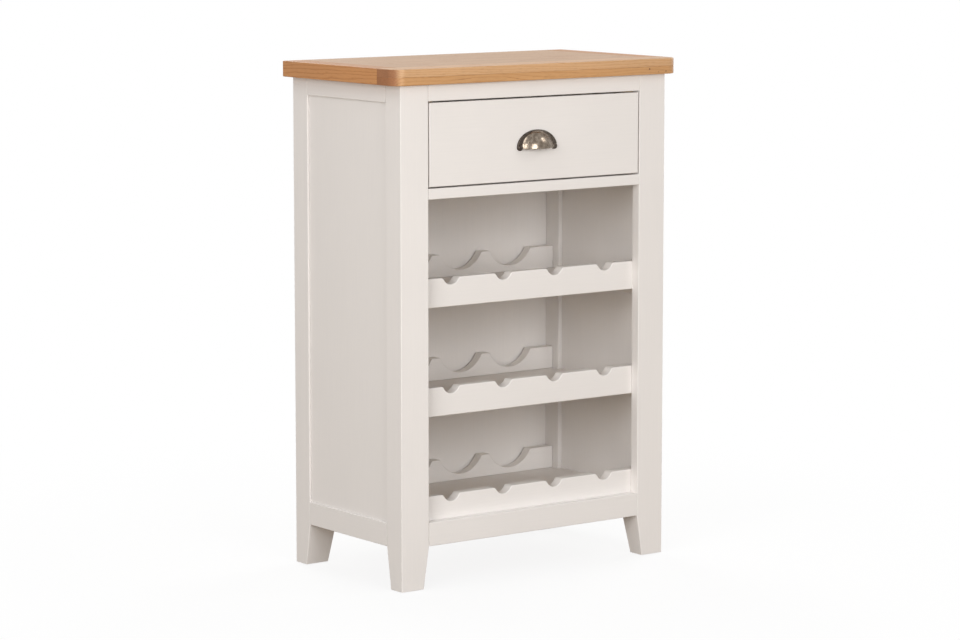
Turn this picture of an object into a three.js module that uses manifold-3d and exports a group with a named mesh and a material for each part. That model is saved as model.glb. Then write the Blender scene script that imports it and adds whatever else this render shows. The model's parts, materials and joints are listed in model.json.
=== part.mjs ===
// Wine cabinet: a painted frame and panel carcase on four tapered legs, with an oak top,
// a dovetailed drawer with a cup pull, and three racks that each hold four bottles.
// Millimetres, +Z up. The front faces -Y, and the origin is on the floor under the middle.

import * as THREE from "three";
import { mergeVertices } from "three/addons/utils/BufferGeometryUtils.js";
import Module from "manifold-3d";

// Fits
const jointGap = 0.3; // glued and screwed joints
const glueLine = 0.1; // between the boards of the top
const runningGap = 0.5; // under the drawer sides
const cutOverrun = 5; // how far a cut runs past the face that it opens
const weldDistance = 0.0001; // corners nearer than this are one corner

// Carcase
const carcaseWidth = 560;
const carcaseDepth = 317;
const carcaseHeight = 844; // floor to the underside of the top
const railBottom = 73; // underside of the bottom rails, where the feet start to taper

// Oak top
const topThickness = 27;
const topSideOverhang = 20;
const topFrontOverhang = 13;
const topCornerRadius = 22;
const frontBoardWidth = 51;
const sideStripWidth = 40;
const staveCount = 3;

// Legs
const legWidth = 56; // across the front
const legDepth = 43; // along the side
const stileThickness = 18; // the L section above the base board
const footTipWidth = 45;
const footTipDepth = 32;
const glideRadius = 9;
const glideThickness = 1.5;
const glidePinRadius = 1;
const glidePinLength = 12;

// Rails
const railThickness = 18;
const bottomRailHeight = 40;
const frontTopRailHeight = 28;
const sideTopRailHeight = 30;
const midRailHeight = 18;
const midRailDepth = 43;
const backTopRailHeight = 40;
const drawerOpeningHeight = 144;
const tenonThickness = 8;
const tenonLength = 20;
const backTenonLength = 10; // into the thin web of a back leg
const tenonShoulder = 4;
const tenonMargin = 2; // between a side tenon and the panel's tongue

// Panels
const panelThickness = 5;
const panelRecess = 4; // behind the outer faces of the frame
const panelTongue = 6; // into the groove on each edge
const backPanelThickness = 5;
const backRebateDepth = 6;
const backRebateLip = 9; // wood left outside the back panel
const backPanelLap = 10; // down over the back bottom rail

// Racks
const rackCount = 3;
const bottlesPerRack = 4;
const bottlePitch = 109.4;
const slatHeight = 49;
const slatThickness = 20;
const boardThickness = 9;
const neckRadius = 17;
const neckNotchDepth = 12;
const notchShoulderRadius = 6.5;
const scallopWidth = 92;
const scallopDepth = 29;
const rearRailThickness = 18;
const rearRailSetback = 4; // in front of the back panel
const rearRailEndGap = 0.8; // clear of the legs at each end
const cleatHeight = 16.5;

// Drawer supports
const runnerLedge = 24; // reach of the runner under the drawer, past the opening's edge
const guideHeight = 20;
const dustPanelThickness = 5;
const dustPanelTongue = 6;
const kickerReach = 20;
const kickerClearance = 2.5;
const stopWidth = 18;
const stopDepth = 12;
const stopHeight = 16;

// Top screws, up through the kickers
const topScrewRadius = 2.2;
const topScrewHeadRadius = 4.2;
const topScrewHeadHeight = 2.6;
const topScrewBite = 16;
const topScrewWellRadius = 5.5;
const topScrewWellDepth = 20;

// Drawer
const drawerGap = 2.6; // all round the drawer front
const drawerFrontThickness = 18;
const drawerSideClearance = 2.6;
const drawerSideThickness = 12;
const drawerSideHeight = 122;
const drawerRearSpace = 23; // behind the drawer box
const drawerBottomLift = 8;
const drawerBottomThickness = 4;
const drawerBottomTongue = 6;
const drawerBackThickness = 12;
const drawerBackInset = 8;
const drawerBackDrop = 4;
const drawerBackHousing = 4;
const tailCount = 4;
const tailLength = 12;
const tailEndShare = 0.72; // of the tail pitch
const tailBaseShare = 0.54;

// Cup pull
const pullHalfWidth = 41.5;
const pullArchHeight = 28.8; // from the middle of the lobes to the top of the flange
const pullLobeRadius = 5.2;
const pullFlangeThickness = 3;
const pullLobeThickness = 5;
const pullReach = 20; // out from the drawer front
const pullDrop = 1.5; // below the middle of the drawer front
const cupHalfWidth = 32.8; // where the cup meets the flange
const cupHeight = 30.2;
const cupLift = 2.8; // the cup's lip above the lowest point of the lobes
const cupWall = 2;
const cupSinkShare = 0.5; // how far behind the flange the cup's egg shape has its middle
const pullScrewRadius = 2;
const pullScrewHeadRadius = 3.6;
const pullScrewHeadHeight = 2.4;
const pullScrewBite = 3;

// Facets of round shapes
const arcFacets = 8;
const scallopFacets = 14;
const cupFacets = 40;
const screwFacets = 16;
const glideFacets = 24;

// Places that follow from the sizes above
const side = carcaseWidth / 2; // outer face of the legs
const openingHalf = side - legWidth; // edge of the front openings
const bayHalf = side - stileThickness; // inner face of the legs
const frontReach = Math.max(pullReach, topFrontOverhang);
const front = (frontReach - carcaseDepth) / 2; // front faces of legs and rails
const back = front + carcaseDepth;
const insideBack = back - backRebateDepth;
const behindStile = front + stileThickness + jointGap;
const frameTop = carcaseHeight - jointGap;
const bottomRailTop = railBottom + bottomRailHeight;
const topRailBottom = carcaseHeight - frontTopRailHeight;
const sideTopRailBottom = carcaseHeight - sideTopRailHeight;
const openingBottom = topRailBottom - drawerOpeningHeight;
const midRailBottom = openingBottom - midRailHeight;
const baseBoardBottom = bottomRailTop - boardThickness;
const legBlockTop = baseBoardBottom - jointGap;
const rackPitch = (midRailBottom - baseBoardBottom) / rackCount;
const slatBack = behindStile + slatThickness;
const backRailFront = insideBack - railThickness;
const topNose = front - topFrontOverhang;
const topHalf = side + topSideOverhang;
const coreHalf = topHalf - sideStripWidth;
const frontBoardBack = topNose + frontBoardWidth;
const staveDepth = (back - frontBoardBack) / staveCount;

const wasm = await Module();
wasm.setup();

// The colour and polish of each material
const finishes = {
  paint: { color: 0xe5e0da, roughness: 0.5, metalness: 0 },
  oak: { color: 0xc79a63, roughness: 0.45, metalness: 0 },
  oakTop: { color: 0xcfbca3, roughness: 0.4, metalness: 0 },
  boxWood: { color: 0xd8bf98, roughness: 0.6, metalness: 0 },
  pewter: { color: 0x7d746b, roughness: 0.3, metalness: 1 },
  steel: { color: 0xb9b9b6, roughness: 0.35, metalness: 1 },
  nylon: { color: 0xefeee9, roughness: 0.5, metalness: 0 },
};

// One named piece
function piece(name, finish, geometry) {
  const mesh = new THREE.Mesh(geometry, new THREE.MeshStandardMaterial(finishes[finish]));
  mesh.name = name;
  return mesh;
}

// A block that fills three spans
function brick({ x, y, z }) {
  const size = [x, y, z].map(([low, high]) => high - low);
  const middle = [x, y, z].map(([low, high]) => (low + high) / 2);
  return new THREE.BoxGeometry(...size).translate(...middle);
}

// A plain board that fills three spans
function board(name, finish, { x, y, z }) {
  const size = [x, y, z].map(([low, high]) => high - low);
  const mesh = piece(name, finish, new THREE.BoxGeometry(...size));
  mesh.position.set(...[x, y, z].map(([low, high]) => (low + high) / 2));
  return mesh;
}

// The space that a block needs in its neighbours
function grown({ x, y, z }, gap = jointGap) {
  const widen = ([low, high]) => [low - gap, high + gap];
  return { x: widen(x), y: widen(y), z: widen(z) };
}

function centred(half) {
  return [-half, half];
}

function around(middle, width) {
  return [middle - width / 2, middle + width / 2];
}

function solidOf(geometry) {
  const bare = geometry.clone();
  bare.deleteAttribute("normal");
  bare.deleteAttribute("uv");
  const merged = mergeVertices(bare, weldDistance);
  return new wasm.Manifold(
    new wasm.Mesh({
      numProp: 3,
      vertProperties: merged.attributes.position.array,
      triVerts: new Uint32Array(merged.index.array),
    }),
  );
}

function geometryOf(solid) {
  const { vertProperties, triVerts } = solid.getMesh();
  const geometry = new THREE.BufferGeometry();
  geometry.setAttribute("position", new THREE.BufferAttribute(vertProperties, 3));
  geometry.setIndex(new THREE.BufferAttribute(triVerts, 1));
  geometry.computeVertexNormals();
  return geometry;
}

function join(...geometries) {
  return geometryOf(geometries.map(solidOf).reduce((whole, next) => whole.add(next)));
}

function carve(geometry, cuts) {
  return geometryOf(cuts.map(solidOf).reduce((left, cut) => left.subtract(cut), solidOf(geometry)));
}

function shared(first, second) {
  return geometryOf(solidOf(first).intersect(solidOf(second)));
}

// An outline drawn in Y and Z, given a thickness along X
function extrudeAlongX(outline, [low, high]) {
  const turn = new THREE.Matrix4().makeBasis(
    new THREE.Vector3(0, 1, 0),
    new THREE.Vector3(0, 0, 1),
    new THREE.Vector3(1, 0, 0),
  );
  const options = { depth: high - low, bevelEnabled: false };
  return new THREE.ExtrudeGeometry(outline, options).applyMatrix4(turn).translate(low, 0, 0);
}

// An outline drawn in X and Z, given a thickness along Y
function extrudeAlongY(outline, [low, high], curveSegments = arcFacets) {
  const options = { depth: high - low, bevelEnabled: false, curveSegments };
  return new THREE.ExtrudeGeometry(outline, options).rotateX(Math.PI / 2).translate(0, high, 0);
}

// An outline drawn in X and Y, given a thickness along Z
function extrudeAlongZ(outline, [low, high]) {
  const options = { depth: high - low, bevelEnabled: false, curveSegments: arcFacets };
  return new THREE.ExtrudeGeometry(outline, options).translate(0, 0, low);
}

function polygon(points) {
  return new THREE.Shape(points.map(([x, y]) => new THREE.Vector2(x, y)));
}

// A round rod along Y
function rodAlongY(radius, [low, high]) {
  return new THREE.CylinderGeometry(radius, radius, high - low, screwFacets)
    .translate(0, (low + high) / 2, 0);
}

// A round rod along Z
function rodAlongZ(radius, [low, high]) {
  return new THREE.CylinderGeometry(radius, radius, high - low, screwFacets)
    .rotateX(Math.PI / 2)
    .translate(0, 0, (low + high) / 2);
}

// Pieces made for the left and, mirrored, for the right
function bothSides(makePieces) {
  const left = new THREE.Group().add(...makePieces("left"));
  const right = new THREE.Group().add(...makePieces("right"));
  right.scale.x = -1;
  return [left, right];
}

// Rails along the front and back, each with a tenon at both ends
function crossRail({ half, y, z, tenonY, reach, shoulder }) {
  return {
    body: { x: centred(half - jointGap), y, z },
    tenon: { x: centred(half + reach), y: tenonY, z: [z[0] + shoulder, z[1] - shoulder] },
  };
}

const frontRailY = [front, front + railThickness];
const frontTenonY = around(front + railThickness / 2, tenonThickness);
const backRailY = [backRailFront, insideBack];
const backTenonY = around(backRailFront + railThickness / 2, tenonThickness);
const frontRail = { half: openingHalf, tenonY: frontTenonY, reach: tenonLength, shoulder: tenonShoulder };
const crossRails = {
  front_top_rail: crossRail({ ...frontRail, y: frontRailY, z: [topRailBottom, frameTop] }),
  front_middle_rail: crossRail({
    ...frontRail,
    y: [front, front + midRailDepth],
    z: [midRailBottom, openingBottom],
  }),
  front_bottom_rail: crossRail({ ...frontRail, y: frontRailY, z: [railBottom, bottomRailTop] }),
  back_top_rail: crossRail({
    half: bayHalf,
    y: backRailY,
    z: [carcaseHeight - backTopRailHeight, frameTop],
    tenonY: backTenonY,
    reach: backTenonLength,
    shoulder: tenonShoulder,
  }),
  back_bottom_rail: crossRail({
    half: openingHalf,
    y: backRailY,
    z: [railBottom, legBlockTop],
    tenonY: backTenonY,
    reach: tenonLength,
    shoulder: tenonShoulder,
  }),
};

// Rails along the left side, and the panel that their grooves hold
const sideRailX = [-side, -side + railThickness];
const sideTenonX = around(-side + railThickness / 2, tenonThickness);
const sideShoulder = panelTongue + tenonMargin;
const betweenLegs = [front + legDepth, back - legDepth];
function sideRail([low, high]) {
  return {
    body: { x: sideRailX, y: [betweenLegs[0] + jointGap, betweenLegs[1] - jointGap], z: [low, high] },
    tenon: {
      x: sideTenonX,
      y: [betweenLegs[0] - tenonLength, betweenLegs[1] + tenonLength],
      z: [low + sideShoulder, high - sideShoulder],
    },
  };
}
const sideRails = {
  top: sideRail([sideTopRailBottom, frameTop]),
  bottom: sideRail([railBottom, bottomRailTop]),
};
const panelInner = -side + panelRecess + panelThickness;
const sidePanel = {
  x: [panelInner - panelThickness, panelInner],
  y: [betweenLegs[0] - panelTongue, betweenLegs[1] + panelTongue],
  z: [bottomRailTop - panelTongue, sideTopRailBottom + panelTongue],
};
const backPanelBottom = railBottom + backPanelLap;
const backPanelFront = insideBack + jointGap;
const backPanel = {
  x: centred(side - backRebateLip - jointGap),
  y: [backPanelFront, backPanelFront + backPanelThickness],
  z: [backPanelBottom + jointGap, frameTop],
};
const backPocket = {
  x: centred(side - backRebateLip),
  y: [insideBack, back + cutOverrun],
  z: [backPanelBottom, carcaseHeight + cutOverrun],
};

// Middle rail, dust panel and drawer supports
const midRail = crossRails.front_middle_rail;
const dustPanelZ = around((midRailBottom + openingBottom) / 2, dustPanelThickness);
const dustHalf = openingHalf - runnerLedge + dustPanelTongue;
const dustPanel = {
  x: centred(dustHalf),
  y: [front + midRailDepth - dustPanelTongue, insideBack - jointGap],
  z: dustPanelZ,
};

// Glides: a nylon disc nailed under each foot
function glide(name) {
  const profile = [
    [0, 0],
    [glideRadius - glideThickness / 2, 0],
    [glideRadius, glideThickness / 2],
    [glideRadius, glideThickness - jointGap],
    [glidePinRadius, glideThickness - jointGap],
    [glidePinRadius, glidePinLength],
    [0, glidePinLength],
  ].map(([r, h]) => new THREE.Vector2(r, h));
  return piece(name, "nylon", new THREE.LatheGeometry(profile, glideFacets).rotateX(Math.PI / 2));
}

// A leg: square post with a foot that tapers on its two inner faces, cut away to an L or a web
function leg(name, outerY, inward, hollow) {
  const top = frameTop;
  const frontView = polygon([
    [-side, glideThickness],
    [-side + footTipWidth, glideThickness],
    [-side + legWidth, railBottom],
    [-side + legWidth, top],
    [-side, top],
  ]);
  const sideView = polygon([
    [outerY, glideThickness],
    [outerY + inward * footTipDepth, glideThickness],
    [outerY + inward * legDepth, railBottom],
    [outerY + inward * legDepth, top],
    [outerY, top],
  ]);
  const reachY = [outerY - legDepth - cutOverrun, outerY + legDepth + cutOverrun];
  const post = shared(
    extrudeAlongY(frontView, reachY),
    extrudeAlongX(sideView, [-side - cutOverrun, -side + legWidth + cutOverrun]),
  );
  const footMiddle = [-side + footTipWidth / 2, outerY + (inward * footTipDepth) / 2];
  const pinHole = rodAlongZ(glidePinRadius + jointGap, [-cutOverrun, glidePinLength + jointGap])
    .translate(...footMiddle, 0);
  const mortises = [...Object.values(crossRails), ...Object.values(sideRails)]
    .map((rail) => brick(grown(rail.tenon)));
  const cuts = [brick(hollow), pinHole, ...mortises, brick(grown(sidePanel)), brick(backPocket)];
  return piece(name, "paint", carve(post, cuts));
}

function legs(sideName) {
  const hollowX = [-side + stileThickness, -side + legWidth + cutOverrun];
  const hollowZ = [legBlockTop, carcaseHeight + cutOverrun];
  const frontHollow = {
    x: hollowX,
    y: [front + stileThickness, front + legDepth + cutOverrun],
    z: hollowZ,
  };
  const backHollow = {
    x: hollowX,
    y: [back - legDepth - cutOverrun, back + cutOverrun],
    z: hollowZ,
  };
  const frontGlide = glide(`front_${sideName}_glide`);
  frontGlide.position.set(-side + footTipWidth / 2, front + footTipDepth / 2, 0);
  const backGlide = glide(`back_${sideName}_glide`);
  backGlide.position.set(-side + footTipWidth / 2, back - footTipDepth / 2, 0);
  return [
    leg(`front_${sideName}_leg`, front, 1, frontHollow),
    leg(`back_${sideName}_leg`, back, -1, backHollow),
    frontGlide,
    backGlide,
  ];
}

// Frame rails and panels
function tenonedRail(name, { body, tenon }, cuts) {
  return piece(name, "paint", carve(join(brick(body), brick(tenon)), cuts.map(brick)));
}

function crossRailPieces() {
  return Object.entries(crossRails).map(([name, rail]) =>
    tenonedRail(name, rail, [grown(dustPanel)]),
  );
}

function sideFrame(sideName) {
  const panelSpace = [grown(sidePanel)];
  return [
    tenonedRail(`side_top_rail_${sideName}`, sideRails.top, panelSpace),
    tenonedRail(`side_bottom_rail_${sideName}`, sideRails.bottom, panelSpace),
    board(`side_panel_${sideName}`, "paint", sidePanel),
  ];
}

// Oak top: two front boards one over the other, side strips, and staves between them
function frontBoardOutline() {
  const r = topCornerRadius;
  const outline = new THREE.Shape();
  outline.moveTo(-topHalf, frontBoardBack);
  outline.lineTo(-topHalf, topNose + r);
  outline.absarc(-topHalf + r, topNose + r, r, Math.PI, 1.5 * Math.PI, false);
  outline.lineTo(topHalf - r, topNose);
  outline.absarc(topHalf - r, topNose + r, r, -Math.PI / 2, 0, false);
  outline.lineTo(topHalf, frontBoardBack);
  return outline;
}

const topZ = [carcaseHeight, carcaseHeight + topThickness];
const topMiddle = carcaseHeight + topThickness / 2;
const staveStarts = Array.from({ length: staveCount }, (_, i) => frontBoardBack + i * staveDepth);
const screwedStaves = [staveStarts[0], staveStarts[staveCount - 1]];
const kickerX = [-(bayHalf - jointGap), -(openingHalf - kickerReach)];
const kickerMiddle = (kickerX[0] + kickerX[1]) / 2;

function topScrewSpots() {
  return screwedStaves.map((start) => [kickerMiddle, start + staveDepth / 2]);
}

function oakTop() {
  const outline = frontBoardOutline();
  const pilots = topScrewSpots().flatMap(([x, y]) =>
    [x, -x].map((placeX) =>
      rodAlongZ(topScrewRadius + jointGap, [
        carcaseHeight - cutOverrun,
        carcaseHeight + topScrewBite + jointGap,
      ]).translate(placeX, y, 0),
    ),
  );
  const staves = staveStarts.map((start, i) => {
    const body = {
      x: centred(coreHalf - glueLine),
      y: [start + glueLine, start + staveDepth],
      z: topZ,
    };
    return piece(`top_stave_${i + 1}`, "oakTop", carve(brick(body), pilots));
  });
  return [
    piece("top_front_board_upper", "oak", extrudeAlongZ(outline, [topMiddle + glueLine, topZ[1]])),
    piece("top_front_board_lower", "oak", extrudeAlongZ(outline, [topZ[0], topMiddle])),
    ...staves,
  ];
}

function topSideStrip(sideName) {
  const spans = { x: [-topHalf, -coreHalf], y: [frontBoardBack + glueLine, back], z: topZ };
  return board(`top_side_strip_${sideName}`, "oak", spans);
}

// Bottle racks: a notched front slat, a board, and a scalloped rail at the back
const bottlePlaces = Array.from(
  { length: bottlesPerRack },
  (_, i) => (i - (bottlesPerRack - 1) / 2) * bottlePitch,
);

function slatOutline() {
  const half = bayHalf - jointGap;
  const r = notchShoulderRadius;
  const rise = neckRadius - neckNotchDepth;
  const shoulderX = Math.sqrt((neckRadius + r) ** 2 - (rise + r) ** 2);
  const turn = Math.atan2(rise + r, -shoulderX);
  const outline = new THREE.Shape();
  outline.moveTo(-half, 0);
  outline.lineTo(half, 0);
  outline.lineTo(half, slatHeight);
  for (const x of [...bottlePlaces].reverse()) {
    outline.lineTo(x + shoulderX, slatHeight);
    outline.absarc(x + shoulderX, slatHeight - r, r, Math.PI / 2, turn, false);
    outline.absarc(x, slatHeight + rise, neckRadius, turn - Math.PI, -turn, true);
    outline.absarc(x - shoulderX, slatHeight - r, r, Math.PI - turn, Math.PI / 2, false);
  }
  outline.lineTo(-half, slatHeight);
  return outline;
}

function rearRailOutline() {
  const half = bayHalf - rearRailEndGap;
  const low = boardThickness + jointGap;
  const halfChord = scallopWidth / 2;
  const radius = (halfChord ** 2 + scallopDepth ** 2) / (2 * scallopDepth);
  const rise = radius - scallopDepth;
  const start = Math.atan2(-rise, halfChord);
  const outline = new THREE.Shape();
  outline.moveTo(-half, low);
  outline.lineTo(half, low);
  outline.lineTo(half, slatHeight);
  for (const x of [...bottlePlaces].reverse()) {
    outline.lineTo(x + halfChord, slatHeight);
    outline.absarc(x, slatHeight + rise, radius, start, -Math.PI - start, true);
  }
  outline.lineTo(-half, slatHeight);
  return outline;
}

// The base board lies in the bottom frame, between the side rails
const rackBoardY = [slatBack + jointGap, insideBack - jointGap];
function baseBoard() {
  return brick({ x: centred(bayHalf - jointGap), y: rackBoardY, z: [0, boardThickness] });
}

// The boards above it reach out to the side panels between the legs, over the cleats
function upperBoard() {
  const ear = {
    x: centred(-panelInner - jointGap),
    y: [Math.max(betweenLegs[0], slatBack) + jointGap, betweenLegs[1] - jointGap],
    z: [0, boardThickness],
  };
  return join(baseBoard(), brick(ear));
}

function rack(level) {
  const isBase = level === 0;
  const rearRailBack = insideBack - rearRailSetback;
  const group = new THREE.Group();
  group.position.z = baseBoardBottom + level * rackPitch;
  const prefix = `rack_${level + 1}`;
  group.add(
    piece(`${prefix}_front_slat`, "paint", extrudeAlongY(slatOutline(), [behindStile, slatBack])),
    piece(`${prefix}_board`, "paint", isBase ? baseBoard() : upperBoard()),
    piece(
      `${prefix}_rear_rail`,
      "paint",
      extrudeAlongY(rearRailOutline(), [rearRailBack - rearRailThickness, rearRailBack], scallopFacets),
    ),
  );
  if (!isBase) {
    const cleat = {
      x: [panelInner + jointGap, -bayHalf],
      y: [betweenLegs[0] + jointGap, betweenLegs[1] - jointGap],
      z: [-cleatHeight, -jointGap],
    };
    group.add(...bothSides((sideName) => [board(`${prefix}_cleat_${sideName}`, "paint", cleat)]));
  }
  return group;
}

// Runner with its guide, kicker, drawer stop and the screws that hold the top
const drawerBoxTop = openingBottom + runningGap + drawerSideHeight;
const kickerBottom = drawerBoxTop + kickerClearance;
const drawerRear = carcaseDepth - backRebateDepth - drawerRearSpace; // behind the front faces

function runner(sideName) {
  const inner = -(openingHalf - runnerLedge);
  const outer = -(bayHalf - jointGap);
  const outline = polygon([
    [outer, midRailBottom],
    [inner, midRailBottom],
    [inner, openingBottom],
    [-openingHalf, openingBottom],
    [-openingHalf, openingBottom + guideHeight],
    [outer, openingBottom + guideHeight],
  ]);
  const length = extrudeAlongY(outline, [behindStile, insideBack - jointGap]);
  const cuts = [brick(grown(midRail.body)), brick(grown(dustPanel))];
  return piece(`drawer_runner_${sideName}`, "boxWood", carve(length, cuts));
}

function kicker(sideName) {
  const wellTop = kickerBottom + topScrewWellDepth;
  const body = {
    x: kickerX,
    y: [behindStile, backRailFront - jointGap],
    z: [kickerBottom, frameTop],
  };
  const holes = topScrewSpots().flatMap(([x, y]) => [
    rodAlongZ(topScrewWellRadius, [kickerBottom - cutOverrun, wellTop]).translate(x, y, 0),
    rodAlongZ(topScrewRadius + jointGap, [kickerBottom, carcaseHeight]).translate(x, y, 0),
  ]);
  return piece(`drawer_kicker_${sideName}`, "boxWood", carve(brick(body), holes));
}

function topScrew(sideName, index, [x, y]) {
  const headTop = kickerBottom + topScrewWellDepth - jointGap;
  const tip = carcaseHeight + topScrewBite;
  const profile = [
    [0, headTop - topScrewHeadHeight],
    [topScrewHeadRadius, headTop - topScrewHeadHeight],
    [topScrewHeadRadius, headTop],
    [topScrewRadius, headTop],
    [topScrewRadius, tip - topScrewHeadHeight],
    [0, tip],
  ].map(([r, h]) => new THREE.Vector2(r, h));
  const screw = new THREE.LatheGeometry(profile, screwFacets).rotateX(Math.PI / 2);
  const mesh = piece(`top_screw_${sideName}_${index + 1}`, "steel", screw);
  mesh.position.set(x, y, 0);
  return mesh;
}

function drawerStop(sideName) {
  const outer = -(openingHalf - drawerSideClearance);
  const start = front + drawerRear + jointGap;
  return board(`drawer_stop_${sideName}`, "boxWood", {
    x: [outer, outer + stopWidth],
    y: [start, start + stopDepth],
    z: [openingBottom + jointGap, openingBottom + jointGap + stopHeight],
  });
}

function drawerSupports(sideName) {
  return [
    runner(sideName),
    kicker(sideName),
    drawerStop(sideName),
    ...topScrewSpots().map((spot, i) => topScrew(sideName, i, spot)),
  ];
}

// Drawer, from the lower front edge of its opening
const drawerFrontHalf = openingHalf - drawerGap;
const drawerSideOuter = openingHalf - drawerSideClearance;
const drawerSideInner = drawerSideOuter - drawerSideThickness;
const drawerSideZ = [runningGap, runningGap + drawerSideHeight];
const drawerBottomLow = runningGap + drawerBottomLift;
const drawerBottom = {
  x: centred(drawerSideInner + drawerBottomTongue),
  y: [drawerFrontThickness - drawerBottomTongue, drawerRear],
  z: [drawerBottomLow, drawerBottomLow + drawerBottomThickness],
};
const drawerBackEnd = drawerRear - drawerBackInset;
const drawerBack = {
  x: centred(drawerSideInner + drawerBackHousing),
  y: [drawerBackEnd - drawerBackThickness, drawerBackEnd],
  z: [drawerBottom.z[1] + jointGap * 2, drawerSideZ[1] - drawerBackDrop],
};
const tailPitch = (drawerSideZ[1] - drawerGap) / tailCount;
const tailMiddles = Array.from({ length: tailCount }, (_, i) => drawerGap + (i + 0.5) * tailPitch);
const tailEndHalf = (tailPitch * tailEndShare) / 2;
const tailBaseHalf = (tailPitch * tailBaseShare) / 2;
const pullMiddleZ = drawerOpeningHeight / 2 - pullDrop;
const pullLobeZ = pullMiddleZ - (pullArchHeight - pullLobeRadius) / 2;
const pullScrewX = pullHalfWidth - pullLobeRadius;

function drawerSide(sideName) {
  const base = drawerFrontThickness + jointGap;
  const end = drawerFrontThickness - tailLength + jointGap;
  const [low, high] = drawerSideZ;
  const tails = tailMiddles.flatMap((z) => [
    [base, z - tailBaseHalf],
    [end, z - tailEndHalf],
    [end, z + tailEndHalf],
    [base, z + tailBaseHalf],
  ]);
  const outline = polygon([[drawerRear, low], [base, low], ...tails, [base, high], [drawerRear, high]]);
  const length = extrudeAlongX(outline, [-drawerSideOuter, -drawerSideInner]);
  const backHousing = grown(drawerBack);
  backHousing.z[1] = high + cutOverrun;
  const bottomGroove = grown(drawerBottom);
  bottomGroove.y[1] = drawerRear + cutOverrun;
  return piece(
    `drawer_side_${sideName}`,
    "boxWood",
    carve(length, [brick(bottomGroove), brick(backHousing)]),
  );
}

function drawerFront() {
  const depth = drawerFrontThickness;
  const body = {
    x: centred(drawerFrontHalf),
    y: [0, depth],
    z: [drawerGap, drawerOpeningHeight - drawerGap],
  };
  const socketX = [drawerSideInner - jointGap, drawerFrontHalf + cutOverrun];
  const sockets = tailMiddles.flatMap((z) => {
    const [baseHalf, endHalf] = [tailBaseHalf + jointGap, tailEndHalf + jointGap];
    const socket = polygon([
      [depth + cutOverrun, z - baseHalf],
      [depth, z - baseHalf],
      [depth - tailLength, z - endHalf],
      [depth - tailLength, z + endHalf],
      [depth, z + baseHalf],
      [depth + cutOverrun, z + baseHalf],
    ]);
    const [near, far] = socketX;
    return [extrudeAlongX(socket, [near, far]), extrudeAlongX(socket, [-far, -near])];
  });
  const screwHoles = [pullScrewX, -pullScrewX].map((x) =>
    rodAlongY(pullScrewRadius + jointGap, [-cutOverrun, depth + cutOverrun]).translate(x, 0, pullLobeZ),
  );
  return piece(
    "drawer_front",
    "paint",
    carve(brick(body), [...sockets, ...screwHoles, brick(grown(drawerBottom))]),
  );
}

// Cup pull: an arched flange with a lobe at each end, and a quarter shell over the fingers
function pullFlangeOutline() {
  const innerHalf = cupHalfWidth - cupWall;
  const innerHeight = cupLift - pullLobeRadius + cupHeight - cupWall;
  const outline = new THREE.Shape();
  outline.moveTo(pullHalfWidth, 0);
  outline.absellipse(0, 0, pullHalfWidth, pullArchHeight, 0, Math.PI, false);
  outline.absarc(-pullScrewX, 0, pullLobeRadius, Math.PI, 2 * Math.PI, false);
  outline.absellipse(0, 0, innerHalf, innerHeight, Math.PI, 0, true);
  outline.absarc(pullScrewX, 0, pullLobeRadius, Math.PI, 2 * Math.PI, false);
  return outline;
}

// The cup is part of an egg shape, wall inside its outer face
function cupEgg(wall) {
  const depth = (pullReach - jointGap - pullFlangeThickness) / (1 - cupSinkShare);
  const spread = Math.sqrt(1 - cupSinkShare ** 2);
  return new THREE.SphereGeometry(1, cupFacets, cupFacets / 2)
    .scale(cupHalfWidth / spread - wall, depth - wall, cupHeight / spread - wall)
    .translate(0, depth - pullReach, cupLift - pullLobeRadius);
}

function cupShell() {
  const low = cupLift - pullLobeRadius;
  const room = {
    x: centred(cupHalfWidth + cutOverrun),
    y: [-pullReach - cutOverrun, -jointGap],
    z: [low, low + cupHeight + cutOverrun],
  };
  return shared(carve(cupEgg(0), [cupEgg(cupWall)]), brick(room));
}

function cupPull() {
  const flangeFront = -jointGap - pullFlangeThickness;
  const lobes = [pullScrewX, -pullScrewX].map((x) =>
    rodAlongY(pullLobeRadius, [-jointGap - pullLobeThickness, -jointGap]).translate(x, 0, 0),
  );
  const flange = extrudeAlongY(pullFlangeOutline(), [flangeFront, -jointGap], scallopFacets);
  const threads = [pullScrewX, -pullScrewX].map((x) =>
    rodAlongY(pullScrewRadius + jointGap, [-jointGap - pullScrewBite - jointGap, cutOverrun])
      .translate(x, 0, 0),
  );
  const body = carve(join(flange, cupShell(), ...lobes), [cupEgg(cupWall), ...threads]);
  return piece("cup_pull", "pewter", body);
}

function pullScrew(name, x) {
  const headStart = drawerFrontThickness + jointGap;
  const profile = [
    [0, -jointGap - pullScrewBite],
    [pullScrewRadius, -jointGap - pullScrewBite],
    [pullScrewRadius, headStart],
    [pullScrewHeadRadius, headStart],
    [pullScrewHeadRadius, headStart + pullScrewHeadHeight / 2],
    [pullScrewRadius, headStart + pullScrewHeadHeight],
    [0, headStart + pullScrewHeadHeight],
  ].map(([r, h]) => new THREE.Vector2(r, h));
  const mesh = piece(name, "steel", new THREE.LatheGeometry(profile, screwFacets));
  mesh.position.x = x;
  return mesh;
}

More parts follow.
